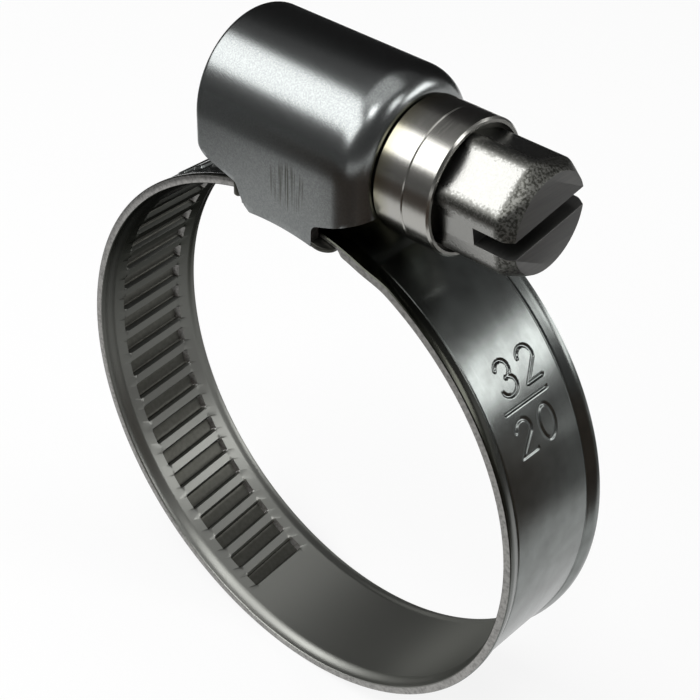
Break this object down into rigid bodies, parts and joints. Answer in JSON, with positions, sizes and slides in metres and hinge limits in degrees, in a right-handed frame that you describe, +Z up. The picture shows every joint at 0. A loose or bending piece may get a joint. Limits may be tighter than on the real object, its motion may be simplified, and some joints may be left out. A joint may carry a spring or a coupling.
{
  "type": "hose clamp",
  "caption": "Worm-drive hose clamp: toothed steel band bent to a ring, closed by a slotted hexagon screw held in a pressed housing.",
  "frame": {"origin": "centre of the ring, on the hose's axis, halfway across the band", "axes": "+Y along the hose's axis, +Z up through the housing, +X along the screw towards its head"},
  "size_m": [0.038, 0.0104, 0.0467],
  "materials": {
    "band_steel": "satin stainless strip with fine lengthwise rolling lines",
    "housing_steel": "satin pressed sheet with fine grain",
    "plate_steel": "satin pressed sheet",
    "screw_steel": "bright zinc-plated steel, turned collar and grainy flats"
  },
  "bodies": {
    "housing": {"housing_shell": "housing_steel", "saddle_plate": "plate_steel", "band_anchor_end": "band_steel"},
    "screw": {"worm_screw": "screw_steel"},
    "toothed_band": {"band_toothed_end": "band_steel"},
    "link_01": {"band_link_01": "band_steel"},
    "link_02": {"band_link_02": "band_steel"},
    "link_03": {"band_link_03": "band_steel"},
    "link_04": {"band_link_04": "band_steel"},
    "link_05": {"band_link_05": "band_steel"},
    "link_06": {"band_link_06": "band_steel"},
    "link_07": {"band_link_07": "band_steel"},
    "link_08": {"band_link_08": "band_steel"},
    "link_09": {"band_link_09": "band_steel"},
    "link_10": {"band_link_10": "band_steel"}
  },
  "joints": [
    {"name": "screw_turn", "type": "hinge", "parent": "housing", "child": "screw", "pos_m": [0, 0, 0.02261], "axis": [-1, 0, 0], "range_deg": [0, 8640]},
    {"name": "band_feed", "type": "hinge", "parent": "housing", "child": "toothed_band", "pos_m": [0, 0, 0.00033], "axis": [0, 1, 0], "range_deg": [0, 144.5]},
    {"name": "bend_01", "type": "hinge", "parent": "housing", "child": "link_01", "pos_m": [0.0053, 0, 0.0172], "axis": [0, 1, 0], "range_deg": [0, 22.46]},
    {"name": "bend_02", "type": "hinge", "parent": "link_01", "child": "link_02", "pos_m": [0.01022, 0, 0.01481], "axis": [0, 1, 0], "range_deg": [0, 18.05]},
    {"name": "bend_03", "type": "hinge", "parent": "link_02", "child": "link_03", "pos_m": [0.0142, 0, 0.01106], "axis": [0, 1, 0], "range_deg": [0, 14]},
    {"name": "bend_04", "type": "hinge", "parent": "link_03", "child": "link_04", "pos_m": [0.01687, 0, 0.00628], "axis": [0, 1, 0], "range_deg": [0, 10.84]},
    {"name": "bend_05", "type": "hinge", "parent": "link_04", "child": "link_05", "pos_m": [0.01798, 0, 0.00092], "axis": [0, 1, 0], "range_deg": [0, 9.11]},
    {"name": "bend_06", "type": "hinge", "parent": "link_05", "child": "link_06", "pos_m": [0.01742, 0, -0.00453], "axis": [0, 1, 0], "range_deg": [0, 9.11]},
    {"name": "bend_07", "type": "hinge", "parent": "link_06", "child": "link_07", "pos_m": [0.01526, 0, -0.00955], "axis": [0, 1, 0], "range_deg": [0, 10.85]},
    {"name": "bend_08", "type": "hinge", "parent": "link_07", "child": "link_08", "pos_m": [0.01168, 0, -0.01369], "axis": [0, 1, 0], "range_deg": [0, 14.01]},
    {"name": "bend_09", "type": "hinge", "parent": "link_08", "child": "link_09", "pos_m": [0.00703, 0, -0.01657], "axis": [0, 1, 0], "range_deg": [0, 18.07]},
    {"name": "bend_10", "type": "hinge", "parent": "link_09", "child": "link_10", "pos_m": [0.00172, 0, -0.01792], "axis": [0, 1, 0], "range_deg": [0, 22.48]}
  ],
  "couplings": [
    {"joint": "band_feed", "follows": "screw_turn", "ratio": 0.016667},
    {"joint": "bend_01", "follows": "screw_turn", "ratio": 0.0025414},
    {"joint": "bend_02", "follows": "screw_turn", "ratio": 0.0020317},
    {"joint": "bend_03", "follows": "screw_turn", "ratio": 0.0015626},
    {"joint": "bend_04", "follows": "screw_turn", "ratio": 0.0011973},
    {"joint": "bend_05", "follows": "screw_turn", "ratio": 0.00099677},
    {"joint": "bend_06", "follows": "screw_turn", "ratio": 0.00099709},
    {"joint": "bend_07", "follows": "screw_turn", "ratio": 0.0011983},
    {"joint": "bend_08", "follows": "screw_turn", "ratio": 0.0015641},
    {"joint": "bend_09", "follows": "screw_turn", "ratio": 0.0020337},
    {"joint": "bend_10", "follows": "screw_turn", "ratio": 0.0025438}
  ]
}
